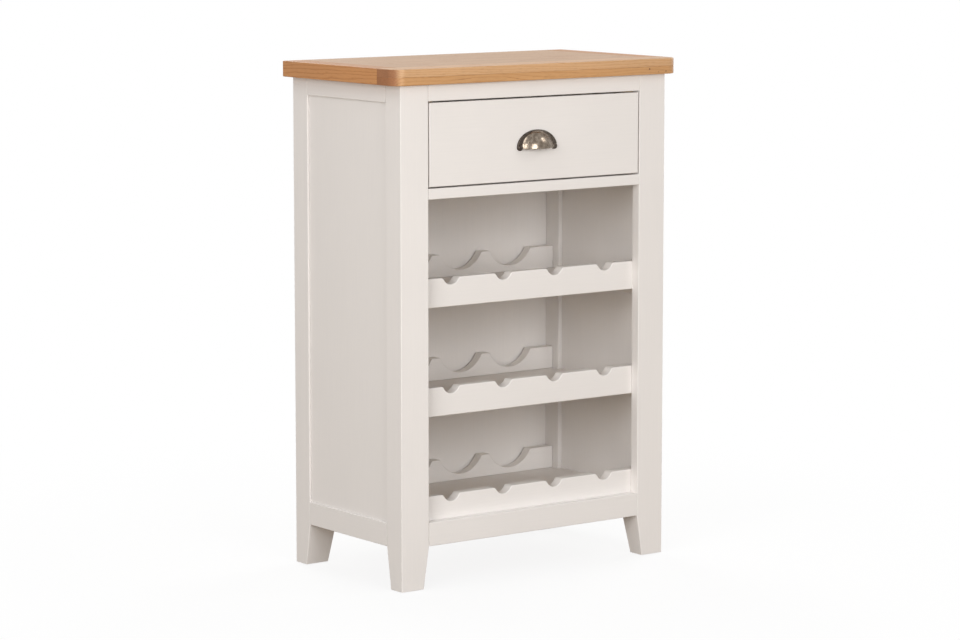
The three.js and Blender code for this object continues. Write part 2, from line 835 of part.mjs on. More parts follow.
function drawer() {
  const pull = new THREE.Group().add(
    cupPull(),
    pullScrew("pull_screw_left", -pullScrewX),
    pullScrew("pull_screw_right", pullScrewX),
  );
  pull.position.z = pullLobeZ;
  const inGroove = ({ x, y, z }) => ({
    x: [x[0] + jointGap, x[1] - jointGap],
    y: [y[0] + jointGap, y[1]],
    z,
  });
  const group = new THREE.Group().add(
    drawerFront(),
    ...bothSides((sideName) => [drawerSide(sideName)]),
    board("drawer_back", "boxWood", inGroove(drawerBack)),
    board("drawer_bottom", "boxWood", inGroove(drawerBottom)),
    pull,
  );
  group.position.set(0, front, openingBottom);
  return group;
}

// The whole cabinet
const cabinet = new THREE.Group();
cabinet.add(
  ...bothSides((sideName) => [...legs(sideName), ...sideFrame(sideName), topSideStrip(sideName)]),
  ...crossRailPieces(),
  board("back_panel", "paint", backPanel),
  board("dust_panel", "boxWood", dustPanel),
  ...bothSides(drawerSupports),
  ...Array.from({ length: rackCount }, (_, level) => rack(level)),
  ...oakTop(),
  drawer(),
);

export default cabinet;
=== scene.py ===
import json
import math

import bmesh
import bpy
from mathutils import Euler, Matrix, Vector

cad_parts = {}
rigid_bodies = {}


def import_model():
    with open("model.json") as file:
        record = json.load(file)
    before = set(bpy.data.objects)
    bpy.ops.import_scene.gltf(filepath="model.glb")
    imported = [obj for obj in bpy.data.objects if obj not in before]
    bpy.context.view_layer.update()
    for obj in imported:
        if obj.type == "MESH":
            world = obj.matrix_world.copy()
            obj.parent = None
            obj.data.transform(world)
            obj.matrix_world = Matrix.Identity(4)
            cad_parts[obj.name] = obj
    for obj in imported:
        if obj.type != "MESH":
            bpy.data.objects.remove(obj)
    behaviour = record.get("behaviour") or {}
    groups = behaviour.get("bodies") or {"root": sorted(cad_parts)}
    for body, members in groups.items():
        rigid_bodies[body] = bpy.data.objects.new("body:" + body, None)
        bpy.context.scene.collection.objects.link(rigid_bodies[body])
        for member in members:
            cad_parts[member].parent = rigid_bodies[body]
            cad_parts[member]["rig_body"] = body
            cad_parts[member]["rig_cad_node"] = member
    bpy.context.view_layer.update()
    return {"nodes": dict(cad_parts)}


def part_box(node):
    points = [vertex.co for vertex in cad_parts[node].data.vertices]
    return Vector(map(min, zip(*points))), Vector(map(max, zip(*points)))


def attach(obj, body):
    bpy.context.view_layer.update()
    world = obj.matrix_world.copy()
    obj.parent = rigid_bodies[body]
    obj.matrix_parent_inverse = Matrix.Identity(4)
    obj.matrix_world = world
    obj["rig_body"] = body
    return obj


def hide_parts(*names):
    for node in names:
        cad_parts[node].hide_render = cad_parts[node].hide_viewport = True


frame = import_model()

# Legs
# Four posts of planed hardwood with a tapered foot, painted off-white. The long arrises are eased
# with a sanding block, and the ends where a rail meets the leg are only broken.
mm = 0.001
soft_arris = 1.2 * mm
joint_arris = 0.3 * mm
mostly = 0.5  # an edge runs along an axis where that axis has more than this of its direction


def only(piece):
    """Selects one object and makes it the active one."""
    bpy.ops.object.select_all(action="DESELECT")
    piece.select_set(True)
    bpy.context.view_layer.objects.active = piece


def work_copy(node):
    """A copy of a CAD node to work on, with its loose triangles joined to whole faces."""
    same_place = 0.01 * mm
    same_plane = math.radians(0.5)
    only(frame["nodes"][node])
    bpy.ops.object.duplicate()
    piece = bpy.context.object
    bpy.ops.object.parent_clear(type="CLEAR_KEEP_TRANSFORM")
    del piece["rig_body"]
    del piece["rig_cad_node"]
    piece.name = node + "_finished"
    piece.data.name = piece.name
    bpy.ops.mesh.customdata_custom_splitnormals_clear()
    bpy.ops.object.mode_set(mode="EDIT")
    bpy.ops.mesh.select_all(action="SELECT")
    bpy.ops.mesh.remove_doubles(threshold=same_place)
    bpy.ops.mesh.dissolve_limited(angle_limit=same_plane)
    bpy.ops.object.mode_set(mode="OBJECT")
    return piece


def ease(piece, radius, wanted=lambda middle, direction: True):
    """Rounds the sharp edges of a piece that wanted picks by their middle and direction."""
    sharp_angle = math.radians(40)
    only(piece)
    bpy.ops.object.mode_set(mode="EDIT")
    bpy.ops.mesh.select_mode(type="EDGE")
    bpy.ops.mesh.select_all(action="DESELECT")
    mesh = bmesh.from_edit_mesh(piece.data)
    for edge in mesh.edges:
        start, end = (corner.co for corner in edge.verts)
        sharp = edge.is_manifold and edge.calc_face_angle() > sharp_angle
        if sharp and wanted((start + end) / 2, (end - start).normalized()):
            edge.select_set(True)
    bmesh.update_edit_mesh(piece.data)
    bpy.ops.mesh.bevel(offset=radius, segments=3, profile=0.5, clamp_overlap=False)
    bpy.ops.object.mode_set(mode="OBJECT")


def finish_shading(piece):
    """Makes rounded edges look round, and keeps flat faces flat."""
    round_angle = math.radians(50)
    only(piece)
    bpy.ops.object.shade_smooth_by_angle(angle=round_angle)
    bpy.ops.object.modifier_add(type="WEIGHTED_NORMAL")
    piece.modifiers[-1].keep_sharp = True
    bpy.ops.object.modifier_apply(modifier=piece.modifiers[-1].name)


def fit(piece, material, slot, body, *nodes):
    """Gives a finished piece its material, and puts it on its body in place of its CAD nodes."""
    finish_shading(piece)
    piece.data.materials.clear()
    piece.data.materials.append(material)
    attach(piece, body)
    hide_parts(*nodes)


def colour(code):
    """The linear colour of an sRGB hex value."""
    shares = [int(code[i : i + 2], 16) / 255 for i in (1, 3, 5)]
    return [s / 12.92 if s <= 0.04045 else ((s + 0.055) / 1.055) ** 2.4 for s in shares] + [1]


def add(owner, kind, inputs=None, **settings):
    """Adds a node with its settings. An input is a value, or another node's output to link."""
    node = owner.node_tree.nodes.new(kind)
    for name, value in settings.items():
        setattr(node, name, value)
    for socket, value in (inputs or {}).items():
        if isinstance(value, bpy.types.NodeSocket):
            owner.node_tree.links.new(value, node.inputs[socket])
        else:
            node.inputs[socket].default_value = value
    return node


# A colour Mix node's sockets, which go by number because their names aren't unique.
mix_share, mix_from, mix_to = 0, 6, 7
mixed = 2


def satin_paint(grain):
    """Sprayed water-based satin paint: a fine orange peel, with the grain just telling through."""
    # The peel and the grain are drawn coarser than the real ones, so that they show.
    peel_size, peel_height = 2.2 * mm, 0.03 * mm
    grain_width, grain_length, grain_height = 2.6 * mm, 90 * mm, 0.05 * mm
    cloud_size = 160 * mm
    paint = bpy.data.materials.new("satin_paint_along_" + grain)
    paint.use_nodes = True
    here = add(paint, "ShaderNodeTexCoord").outputs["Object"]
    along = [1 / grain_width] * 3
    along["xyz".index(grain)] = 1 / grain_length
    stretched = add(paint, "ShaderNodeVectorMath", {0: here, 1: along}, operation="MULTIPLY")
    telling = add(
        paint, "ShaderNodeTexNoise", {"Vector": stretched.outputs[0], "Scale": 1, "Detail": 2}
    )
    peel = add(
        paint, "ShaderNodeTexNoise", {"Vector": here, "Scale": 1 / peel_size, "Detail": 1}
    )
    clouds = add(
        paint, "ShaderNodeTexNoise", {"Vector": here, "Scale": 1 / cloud_size, "Detail": 3}
    )
    tint = add(
        paint,
        "ShaderNodeMix",
        {mix_share: clouds.outputs[0], mix_from: colour("#E8E4E1"), mix_to: colour("#EEEAE7")},
        data_type="RGBA",
    )
    streaked = add(
        paint,
        "ShaderNodeMapRange",
        {
            "Value": telling.outputs[0],
            "From Min": 0.3,
            "From Max": 0.7,
            "To Min": 0.99,
            "To Max": 1.006,
        },
    )
    toned = add(
        paint,
        "ShaderNodeHueSaturation",
        {"Value": streaked.outputs[0], "Color": tint.outputs[mixed]},
    )
    sheen = add(
        paint, "ShaderNodeMapRange", {"Value": clouds.outputs[0], "To Min": 0.4, "To Max": 0.52}
    )
    grain_bump = add(
        paint,
        "ShaderNodeBump",
        {"Height": telling.outputs[0], "Strength": 0.2, "Distance": grain_height},
    )
    peel_bump = add(
        paint,
        "ShaderNodeBump",
        {
            "Height": peel.outputs[0],
            "Normal": grain_bump.outputs[0],
            "Strength": 0.3,
            "Distance": peel_height,
        },
    )
    surface = paint.node_tree.nodes["Principled BSDF"]
    paint.node_tree.links.new(toned.outputs[0], surface.inputs["Base Color"])
    paint.node_tree.links.new(sheen.outputs[0], surface.inputs["Roughness"])
    paint.node_tree.links.new(peel_bump.outputs[0], surface.inputs["Normal"])
    return paint


paint_upright = satin_paint("z")
for node in ("front_left_leg", "front_right_leg", "back_left_leg", "back_right_leg"):
    leg = work_copy(node)
    ease(leg, soft_arris, lambda middle, direction: abs(direction.z) > mostly)
    ease(leg, joint_arris)
    fit(leg, paint_upright, "painted_wood", "carcase", node)

# Glides
# Round discs of nylon, nailed under the feet. They are moulded with a domed rim, and the nail's
# head sits in a recess in the middle.
glide_rim_share = 0.45
nail_recess = 3 * mm
recess_edge_share = 0.9
recess_depth_share = 0.5
nail_rim_share = 0.25
nail_head_share = 0.25
facing = 0.9  # a face looks along an axis where that axis has more than this of its normal


def middle_of(node):
    """The middle of a CAD node's box."""
    low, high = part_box(node)
    return (low + high) / 2


# Moulded nylon is milky and dull, with a fine grit from its mould.
nylon_grain = 0.6 * mm
nylon_height = 0.03 * mm
nylon = bpy.data.materials.new("moulded_nylon")
nylon.use_nodes = True
nylon_here = add(nylon, "ShaderNodeTexCoord")
nylon_grit = add(
    nylon,
    "ShaderNodeTexNoise",
    {"Vector": nylon_here.outputs["Object"], "Scale": 1 / nylon_grain, "Detail": 2},
)
nylon_tone = add(
    nylon,
    "ShaderNodeMix",
    {mix_share: nylon_grit.outputs[0], mix_from: colour("#E6E3DA"), mix_to: colour("#F1EFE9")},
    data_type="RGBA",
)
nylon_bump = add(
    nylon, "ShaderNodeBump", {"Height": nylon_grit.outputs[0], "Distance": nylon_height}
)
nylon_surface = nylon.node_tree.nodes["Principled BSDF"]
nylon_surface.inputs["Roughness"].default_value = 0.5
nylon.node_tree.links.new(nylon_tone.outputs[mixed], nylon_surface.inputs["Base Color"])
nylon.node_tree.links.new(nylon_bump.outputs[0], nylon_surface.inputs["Normal"])

for node in ("front_left_glide", "front_right_glide", "back_left_glide", "back_right_glide"):
    low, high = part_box(node)
    middle = middle_of(node)
    radius = (high.x - low.x) / 2
    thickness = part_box(node.replace("glide", "leg"))[0].z - joint_arris
    bpy.ops.object.select_all(action="DESELECT")
    bpy.ops.mesh.primitive_cylinder_add(
        vertices=48,
        radius=radius,
        depth=thickness,
        location=(middle.x, middle.y, thickness / 2),
    )
    glide = bpy.context.object
    glide.name = node + "_moulded"
    bpy.ops.object.transform_apply(location=True, rotation=True, scale=True)
    ease(glide, thickness * glide_rim_share)
    bpy.ops.object.mode_set(mode="EDIT")
    bpy.ops.mesh.select_mode(type="FACE")
    bpy.ops.mesh.select_all(action="DESELECT")
    mesh = bmesh.from_edit_mesh(glide.data)
    downward = (face for face in mesh.faces if face.normal.z < -facing)
    max(downward, key=lambda face: face.calc_area()).select_set(True)
    bmesh.update_edit_mesh(glide.data)
    bpy.ops.mesh.inset(thickness=radius * recess_edge_share - nail_recess, depth=0)
    bpy.ops.mesh.extrude_region_move(
        TRANSFORM_OT_translate={"value": (0, 0, thickness * recess_depth_share)}
    )
    bpy.ops.mesh.inset(thickness=nail_recess * nail_rim_share, depth=0)
    bpy.ops.mesh.extrude_region_move(
        TRANSFORM_OT_translate={"value": (0, 0, -thickness * nail_head_share)}
    )
    bpy.ops.object.mode_set(mode="OBJECT")
    fit(glide, nylon, "nylon", "carcase", node)

# Rails
# Three rails at the front, two at the back and two on each side, tenoned into the legs and flush.
# Only a hairline shows at the joints, because the frame is painted once it is together.
paint_level = satin_paint("x")
paint_deep = satin_paint("y")
for node in (
    "front_top_rail",
    "front_middle_rail",
    "front_bottom_rail",
    "back_top_rail",
    "back_bottom_rail",
):
    rail = work_copy(node)
    ease(rail, soft_arris, lambda middle, direction: abs(direction.x) > mostly)
    ease(rail, joint_arris)
    fit(rail, paint_level, "painted_wood", "carcase", node)
for node in (
    "side_top_rail_left",
    "side_top_rail_right",
    "side_bottom_rail_left",
    "side_bottom_rail_right",
):
    rail = work_copy(node)
    ease(rail, soft_arris, lambda middle, direction: abs(direction.y) > mostly)
    ease(rail, joint_arris)
    fit(rail, paint_deep, "painted_wood", "carcase", node)

# Panels
# Thin painted panels: one held in grooves on each side, and one pinned into the rebate at the
# back. The pins are steel, with small domed heads.
for node in ("side_panel_left", "side_panel_right", "back_panel"):
    panel = work_copy(node)
    ease(panel, joint_arris)
    fit(panel, paint_upright, "painted_wood", "carcase", node)

# Zinc plated steel is a light grey metal, with a spangle of crystals in two tones.
spangle_size = 0.9 * mm
zinc = bpy.data.materials.new("zinc_plated_steel")
zinc.use_nodes = True
zinc_here = add(zinc, "ShaderNodeTexCoord")
zinc_spangle = add(
    zinc,
    "ShaderNodeTexVoronoi",
    {"Vector": zinc_here.outputs["Object"], "Scale": 1 / spangle_size},
).outputs["Distance"]
zinc_tone = add(
    zinc,
    "ShaderNodeMix",
    {mix_share: zinc_spangle, mix_from: colour("#B9B9B4"), mix_to: colour("#9A9A97")},
    data_type="RGBA",
)
zinc_rough = add(
    zinc, "ShaderNodeMapRange", {"Value": zinc_spangle, "To Min": 0.28, "To Max": 0.45}
)
zinc_surface = zinc.node_tree.nodes["Principled BSDF"]
zinc_surface.inputs["Metallic"].default_value = 1
zinc.node_tree.links.new(zinc_tone.outputs[mixed], zinc_surface.inputs["Base Color"])
zinc.node_tree.links.new(zinc_rough.outputs[0], zinc_surface.inputs["Roughness"])

pin_radius = 1.3 * mm
pin_height = 0.7 * mm
pin_sink = 0.1 * mm
pin_inset = 4.5 * mm
pin_spacing = 95 * mm
panel_low, panel_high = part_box("back_panel")
pin_edge_x = panel_high.x - pin_inset
pin_bottom = panel_low.z + pin_inset
pin_top = panel_high.z - pin_inset
upright_pins = round((pin_top - pin_bottom) / pin_spacing)
level_pins = round(2 * pin_edge_x / pin_spacing)
pin_spots = [
    (edge, pin_bottom + (pin_top - pin_bottom) * i / upright_pins)
    for i in range(upright_pins + 1)
    for edge in (-pin_edge_x, pin_edge_x)
]
pin_spots += [
    (pin_edge_x * (2 * i / level_pins - 1), height)
    for i in range(1, level_pins)
    for height in (pin_bottom, pin_top)
]
first_x, first_z = pin_spots[0]
bpy.ops.object.select_all(action="DESELECT")
bpy.ops.mesh.primitive_uv_sphere_add(
    segments=12, ring_count=8, radius=pin_radius, location=(first_x, panel_high.y, first_z)
)
pin = bpy.context.object
pin.name = "back_panel_pins"
pin.scale.y = pin_height / pin_radius
bpy.ops.object.transform_apply(location=True, rotation=True, scale=True)
bpy.ops.object.mode_set(mode="EDIT")
bpy.ops.mesh.select_all(action="SELECT")
bpy.ops.mesh.bisect(
    plane_co=(0, panel_high.y - pin_sink, 0),
    plane_no=(0, 1, 0),
    use_fill=True,
    clear_inner=True,
)
bpy.ops.object.mode_set(mode="OBJECT")
pins = [pin]
for x, z in pin_spots[1:]:
    only(pin)
    bpy.ops.object.duplicate()
    copy = bpy.context.object
    copy.location = (x - first_x, 0, z - first_z)
    pins.append(copy)
bpy.ops.object.select_all(action="DESELECT")
for each in pins:
    each.select_set(True)
bpy.context.view_layer.objects.active = pin
bpy.ops.object.join()
fit(pin, zinc, "screw_steel", "carcase")

# Drawer supports
# Runners, kickers, stops and a dust panel of planed rubberwood, left bare because they are out of
# sight. The tree's rings, pores and small dark flecks show on them.
rubberwood_tones = {
    "early": "#D0B184",
    "late": "#DBC299",
    "pore": "#A88153",
    "end": "#BC9A6C",
    "end_late": "#CBAB80",
}
rubberwood_ring = 4.5
bare_polish = 0.55


def timber(name, grain, heart, tones, ring, polish):
    """Wood with a tree's rings round a line through heart, along the grain, and ring mm apart."""
    # These lengths are in mm. The vessels are drawn wider than the real ones, so that they show.
    wander_length, wander_width, wander_reach = 260, 48, 18
    vessel_length, vessels_in_a_mm = 13, 1.1
    taper = 0.018
    early_share = 0.45
    pore_strength = 0.55
    pore_depth = 0.06 * mm
    pore_dulling = 0.2
    end_dulling = 0.35
    axis = "xyz".index(grain)
    turn = Euler([(0, 0, 0), (0, 0, -math.pi / 2), (0, math.pi / 2, 0)][axis])
    wood = bpy.data.materials.new(name)
    wood.use_nodes = True
    here = add(wood, "ShaderNodeTexCoord")
    log = add(
        wood,
        "ShaderNodeMapping",
        {
            "Vector": here.outputs["Object"],
            "Location": -(turn.to_matrix() @ (heart / mm)),
            "Rotation": turn,
            "Scale": (1 / mm,) * 3,
        },
    ).outputs[0]
    slow = add(
        wood,
        "ShaderNodeVectorMath",
        {0: log, 1: (1 / wander_length, 1 / wander_width, 1 / wander_width)},
        operation="MULTIPLY",
    )
    wander = add(
        wood, "ShaderNodeTexNoise", {"Vector": slow.outputs[0], "Scale": 1, "Detail": 5}
    )
    bent = add(
        wood,
        "ShaderNodeVectorMath",
        {0: wander.outputs["Color"], 1: (0, wander_reach, wander_reach), 2: log},
        operation="MULTIPLY_ADD",
    )
    section = add(
        wood, "ShaderNodeVectorMath", {0: bent.outputs[0], 1: (0, 1, 1)}, operation="MULTIPLY"
    )
    radius = add(wood, "ShaderNodeVectorMath", {0: section.outputs[0]}, operation="LENGTH")
    parts = add(wood, "ShaderNodeSeparateXYZ", {0: log})
    tapered = add(
        wood,
        "ShaderNodeMath",
        {0: parts.outputs[0], 1: taper, 2: radius.outputs["Value"]},
        operation="MULTIPLY_ADD",
    )
    count = add(wood, "ShaderNodeMath", {0: tapered.outputs[0], 1: ring}, operation="DIVIDE")
    year = add(wood, "ShaderNodeMath", {0: count.outputs[0]}, operation="FRACT")
    lateness = add(
        wood,
        "ShaderNodeMapRange",
        {"Value": year.outputs[0], "From Max": early_share},
        interpolation_type="SMOOTHSTEP",
    )
    fibres = add(
        wood,
        "ShaderNodeVectorMath",
        {0: log, 1: (1 / vessel_length, vessels_in_a_mm, vessels_in_a_mm)},
        operation="MULTIPLY",
    )
    vessels = add(
        wood, "ShaderNodeTexNoise", {"Vector": fibres.outputs[0], "Scale": 1, "Detail": 1}
    )
    open_pores = add(
        wood,
        "ShaderNodeMapRange",
        {"Value": vessels.outputs[0], "From Min": 0.55, "From Max": 0.72},
    )
    pored_part = add(
        wood, "ShaderNodeMapRange", {"Value": lateness.outputs[0], "To Min": 1, "To Max": 0.3}
    )
    pores = add(
        wood,
        "ShaderNodeMath",
        {0: open_pores.outputs[0], 1: pored_part.outputs[0]},
        operation="MULTIPLY",
    )
    ringed = add(
        wood,
        "ShaderNodeMix",
        {
            mix_share: lateness.outputs[0],
            mix_from: colour(tones["early"]),
            mix_to: colour(tones["late"]),
        },
        data_type="RGBA",
    )
    pore_share = add(
        wood, "ShaderNodeMath", {0: pores.outputs[0], 1: pore_strength}, operation="MULTIPLY"
    )
    pored = add(
        wood,
        "ShaderNodeMix",
        {
            mix_share: pore_share.outputs[0],
            mix_from: ringed.outputs[mixed],
            mix_to: colour(tones["pore"]),
        },
        data_type="RGBA",
    )
    facing_out = add(wood, "ShaderNodeSeparateXYZ", {0: here.outputs["Normal"]})
    across = add(
        wood, "ShaderNodeMath", {0: facing_out.outputs[axis]}, operation="ABSOLUTE"
    )
    end_grain = add(
        wood,
        "ShaderNodeMapRange",
        {"Value": across.outputs[0], "From Min": 0.35, "From Max": 0.85, "To Max": 0.85},
        interpolation_type="SMOOTHSTEP",
    )
    end_ringed = add(
        wood,
        "ShaderNodeMix",
        {
            mix_share: open_pores.outputs[0],
            mix_from: colour(tones["end_late"]),
            mix_to: colour(tones["end"]),
        },
        data_type="RGBA",
    )
    ended = add(
        wood,
        "ShaderNodeMix",
        {
            mix_share: end_grain.outputs[0],
            mix_from: pored.outputs[mixed],
            mix_to: end_ringed.outputs[mixed],
        },
        data_type="RGBA",
    )
    patch = add(
        wood,
        "ShaderNodeMapRange",
        {
            "Value": wander.outputs[0],
            "From Min": 0.3,
            "From Max": 0.7,
            "To Min": 0.92,
            "To Max": 1.07,
        },
    )
    toned = add(
        wood,
        "ShaderNodeHueSaturation",
        {"Value": patch.outputs[0], "Color": ended.outputs[mixed]},
    )
    dull_pores = add(
        wood,
        "ShaderNodeMapRange",
        {"Value": pores.outputs[0], "To Min": polish, "To Max": polish + pore_dulling},
    )
    dull_ends = add(
        wood,
        "ShaderNodeMath",
        {0: end_grain.outputs[0], 1: end_dulling, 2: dull_pores.outputs[0]},
        operation="MULTIPLY_ADD",
    )
    sunk = add(
        wood,
        "ShaderNodeBump",
        {"Height": pores.outputs[0], "Strength": 0.6, "Distance": pore_depth},
        invert=True,
    )
    surface = wood.node_tree.nodes["Principled BSDF"]
    wood.node_tree.links.new(toned.outputs[0], surface.inputs["Base Color"])
    wood.node_tree.links.new(dull_ends.outputs[0], surface.inputs["Roughness"])
    wood.node_tree.links.new(sunk.outputs[0], surface.inputs["Normal"])
    return wood


def rubberwood(node, grain, heart):
    """Bare rubberwood for a node. heart is the tree's heart, in mm from the node's middle."""
    heart_place = middle_of(node) + Vector(heart) * mm
    return timber(
        f"rubberwood_{node}", grain, heart_place, rubberwood_tones, rubberwood_ring, bare_polish
    )


def bare_piece(node, grain, heart, body):
    """Finishes a piece of bare rubberwood."""
    piece = work_copy(node)
    ease(piece, joint_arris)
    fit(piece, rubberwood(node, grain, heart), "box_wood", body, node)


for node, grain, heart in (
    ("dust_panel", "x", (90, 35, -70)),
    ("drawer_runner_left", "y", (-40, 0, -60)),
    ("drawer_runner_right", "y", (35, 0, -75)),
    ("drawer_kicker_left", "y", (55, 0, 50)),
    ("drawer_kicker_right", "y", (-45, 0, 70)),
    ("drawer_stop_left", "x", (0, 40, -30)),
    ("drawer_stop_right", "x", (0, -35, -45)),
):
    bare_piece(node, grain, heart, "carcase")

# Racks
# Each holds four bottles: a slat notched for the necks, a board, and a rear rail scalloped for
# the bases. The boards are bare below, and the upper two rest on chamfered cleats.
touch = 0.02 * mm
notch_round = 1.6 * mm
notch_slope = 0.3
cleat_chamfer = 2.4 * mm
shelf_heart = (0, 25, -90)
for level in (1, 2, 3):
    node = f"rack_{level}_front_slat"
    slat = work_copy(node)
    ease(slat, notch_round, lambda middle, direction: abs(direction.x) > notch_slope)
    ease(slat, joint_arris)
    fit(slat, paint_level, "painted_wood", "carcase", node)
    node = f"rack_{level}_rear_rail"
    rail = work_copy(node)
    rail_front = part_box(node)[0].y
    ease(rail, soft_arris, lambda middle, direction: middle.y < rail_front + touch)
    ease(rail, joint_arris)
    fit(rail, paint_level, "painted_wood", "carcase", node)
    node = f"rack_{level}_board"
    shelf = work_copy(node)
    ease(shelf, joint_arris)
    fit(shelf, paint_level, "painted_wood", "carcase", node)
    shelf.data.materials.append(rubberwood(node, "x", shelf_heart))
    shelf.active_material_index = 1
    only(shelf)
    bpy.ops.object.mode_set(mode="EDIT")
    bpy.ops.mesh.select_mode(type="FACE")
    bpy.ops.mesh.select_all(action="DESELECT")
    mesh = bmesh.from_edit_mesh(shelf.data)
    for face in mesh.faces:
        face.select_set(face.normal.z < -facing)
    bmesh.update_edit_mesh(shelf.data)
    bpy.ops.object.material_slot_assign()
    bpy.ops.object.mode_set(mode="OBJECT")


def on_lower_inner_arris(middle, direction):
    """True for an edge of a cleat low on its inner side."""
    return abs(abs(middle.x) - inner_x) < touch and middle.z < low.z + touch


for level in (2, 3):
    for side in ("left", "right"):
        node = f"rack_{level}_cleat_{side}"
        cleat = work_copy(node)
        low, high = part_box(node)
        inner_x = min(abs(low.x), abs(high.x))
        ease(cleat, cleat_chamfer, on_lower_inner_arris)
        ease(cleat, joint_arris)
        fit(cleat, paint_deep, "painted_wood", "carcase", node)

# Screws of the top
# Zinc plated countersunk screws, driven up through wells in the kickers. Each has a cross recess
# in its head, pressed when the head is forged.
head_arris = 0.4 * mm
head_height = 3 * mm
cross_span_share = 1.1
cross_width = 1 * mm
cross_depth = 3 * mm


def cross_recess(screw, place, axis, span, width, depth):
    """Presses a cross into a screw's head, with its slots square to the screw's axis."""
    for along in {"y": "xz", "z": "xy"}[axis]:
        size = [width] * 3
        size["xyz".index(along)] = span
        size["xyz".index(axis)] = depth
        bpy.ops.object.select_all(action="DESELECT")
        bpy.ops.mesh.primitive_cube_add(size=1, location=place, scale=size)
        slot_cutter = bpy.context.object
        only(screw)
        bpy.ops.object.modifier_add(type="BOOLEAN")
        screw.modifiers[-1].operation = "DIFFERENCE"
        screw.modifiers[-1].object = slot_cutter
        bpy.ops.object.modifier_apply(modifier=screw.modifiers[-1].name)
        only(slot_cutter)
        bpy.ops.object.delete()


for side in ("left", "right"):
    for number in (1, 2):
        node = f"top_screw_{side}_{number}"
        screw = work_copy(node)
        low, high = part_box(node)
        span = (high.x - low.x) / 2 * cross_span_share
        ease(screw, head_arris, lambda middle, direction: middle.z < low.z + head_height)
        recess_place = (middle_of(node).x, middle_of(node).y, low.z)
        cross_recess(screw, recess_place, "z", span, cross_width, cross_depth)
        fit(screw, zinc, "screw_steel", "carcase", node)

# Oak top
# Solid oak under satin lacquer: two boards, one over the other, along the front with rounded
# corners, a strip along each end, and three staves between. Each is from another part of the tree.
# Lacquered oak is honey brown with fine dark pores along the grain, and much darker at its ends.
oak_end = {"end": "#66391F", "end_late": "#945F3E"}
oak_pale = {"early": "#C69565", "late": "#D0A579", "pore": "#8A5E38", **oak_end}
oak_mid = {"early": "#BE8A55", "late": "#CA9966", "pore": "#7C4F2B", **oak_end}
oak_brown = {"early": "#AC7039", "late": "#BC834C", "pore": "#6C4120", **oak_end}
oak_core = {"early": "#B58961", "late": "#BF9871", "pore": "#805835", **oak_end}
oak_ring = 3.6
lacquer_polish = 0.45
top_arris = 1.4 * mm
glue_arris = 0.3 * mm
glue_line_reach = 0.2 * mm
# Each knot's distance from the right end, height over the board's underside, and radius, in mm.
knot_marks = ((65, 9.6, 1.7), (45, 4, 0.9), (28.5, 4.8, 1.4))
top_low, top_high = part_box("top_front_board_upper")
top_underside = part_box("top_front_board_lower")[0].z
top_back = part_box("top_stave_3")[1].y


def on_top_outline(middle, direction):
    """True for an edge on the top's outer arrises, above or below, and not along a glue line."""
    outer = abs(middle.z - top_high.z) < touch or abs(middle.z - top_underside) < touch
    at_back = abs(middle.y - top_back) < touch
    at_end = abs(abs(middle.x) - top_high.x) < touch
    in_front = middle.y < top_high.y - touch
    return outer and (at_back or at_end or in_front)


def on_glue_line(middle, direction):
    """True for an edge between the two front boards along the glue line, rounded so a fine line
    shows.
    """
    return middle.y < top_high.y - touch and abs(middle.z - top_low.z) < glue_line_reach


def pin_knots(wood, spots, dark):
    """Marks pin knots, each a place and a radius, in a wood. They fade out round their edge."""
    heart_share, edge_share = 0.4, 1.4
    darkest = 0.85
    here = add(wood, "ShaderNodeTexCoord").outputs["Object"]
    surface = wood.node_tree.nodes["Principled BSDF"]
    for spot, spot_radius in spots:
        away = add(wood, "ShaderNodeVectorMath", {0: here, 1: spot}, operation="DISTANCE")
        darkness = add(
            wood,
            "ShaderNodeMapRange",
            {
                "Value": away.outputs["Value"],
                "From Min": spot_radius * heart_share,
                "From Max": spot_radius * edge_share,
                "To Min": darkest,
                "To Max": 0,
            },
            interpolation_type="SMOOTHSTEP",
        )
        plain = surface.inputs["Base Color"].links[0].from_socket
        knotted = add(
            wood,
            "ShaderNodeMix",
            {mix_share: darkness.outputs[0], mix_from: plain, mix_to: colour(dark)},
            data_type="RGBA",
        )
        wood.node_tree.links.new(knotted.outputs[mixed], surface.inputs["Base Color"])


for node, grain, heart, tones in (
    ("top_front_board_upper", "x", (0, 30, -70), oak_pale),
    ("top_front_board_lower", "x", (0, -65, -45), oak_mid),
    ("top_side_strip_left", "y", (60, 0, -55), oak_brown),
    ("top_side_strip_right", "y", (-50, 0, -75), oak_brown),
    ("top_stave_1", "x", (0, 10, -95), oak_core),
    ("top_stave_2", "x", (0, -25, -80), oak_core),
    ("top_stave_3", "x", (0, 30, -110), oak_core),
):
    board = work_copy(node)
    ease(board, top_arris, on_top_outline)
    ease(board, glue_arris, on_glue_line)
    heart_place = middle_of(node) + Vector(heart) * mm
    wood = timber(f"lacquered_oak_{node}", grain, heart_place, tones, oak_ring, lacquer_polish)
    if node == "top_front_board_lower":
        low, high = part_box(node)
        knots = [
            (Vector((high.x - from_end * mm, low.y, low.z + lift * mm)), knot_radius * mm)
            for from_end, lift, knot_radius in knot_marks
        ]
        pin_knots(wood, knots, "#5A3418")
    slot = "oak_top" if "stave" in node else "oak"
    fit(board, wood, slot, "carcase", node)

